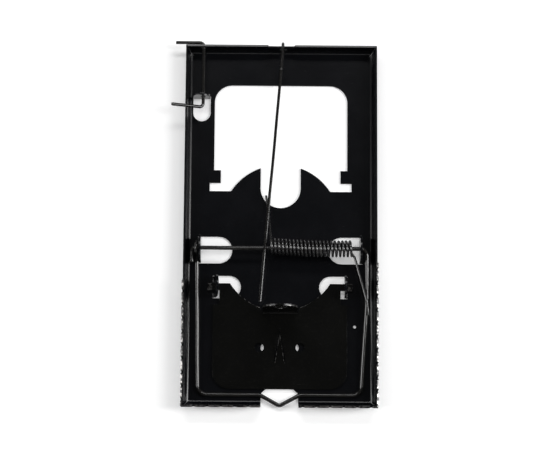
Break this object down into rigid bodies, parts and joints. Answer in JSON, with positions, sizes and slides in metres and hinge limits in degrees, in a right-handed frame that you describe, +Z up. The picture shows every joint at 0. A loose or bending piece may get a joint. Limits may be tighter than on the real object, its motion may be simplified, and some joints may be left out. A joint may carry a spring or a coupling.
{
  "type": "snap mouse trap",
  "caption": "All-metal snap trap: shallow stamped sheet base with turned-up edges, treadle, torsion-sprung wire striker, lock rod and swinging wire safety catch.",
  "frame": {"origin": "centre of the base's underside", "axes": "+Y along the base towards the end with the lock rod, +Z up, +X to the right when seen from above with +Y away"},
  "size_m": [0.0687, 0.1218, 0.0154],
  "materials": {
    "base_enamel": "semi-gloss black enamel on steel sheet",
    "treadle_enamel": "satin black enamel on steel sheet",
    "black_wire": "glossy blackened steel wire",
    "spring_wire": "glossy oil-blackened spring wire"
  },
  "bodies": {
    "base": {"base_plate": "base_enamel", "spring_coil": "spring_wire"},
    "treadle": {"treadle": "treadle_enamel"},
    "striker": {"striker": "black_wire", "spring_striker_leg": "spring_wire"},
    "lock_rod": {"lock_rod": "black_wire"},
    "safety_catch": {"safety_catch": "black_wire"}
  },
  "joints": [
    {"name": "striker_swing", "type": "hinge", "parent": "base", "child": "striker", "pos_m": [0, -0.0083, 0.00575], "axis": [-1, 0, 0], "range_deg": [0, 189], "stiffness_Nm_per_rad": 0.0124, "springref_deg": -68.75},
    {"name": "treadle_tilt", "type": "hinge", "parent": "base", "child": "treadle", "pos_m": [0, -0.02055, 0.0012], "axis": [-1, 0, 0], "range_deg": [0, 10]},
    {"name": "lock_rod_swing", "type": "hinge", "parent": "base", "child": "lock_rod", "pos_m": [0.0005, 0.05946, 0.0043], "axis": [-1, 0, 0], "range_deg": [0, 170]},
    {"name": "safety_catch_swing", "type": "hinge", "parent": "base", "child": "safety_catch", "pos_m": [-0.02589, 0.0426, 0.0046], "axis": [0, 1, 0], "range_deg": [0, 150]}
  ]
}
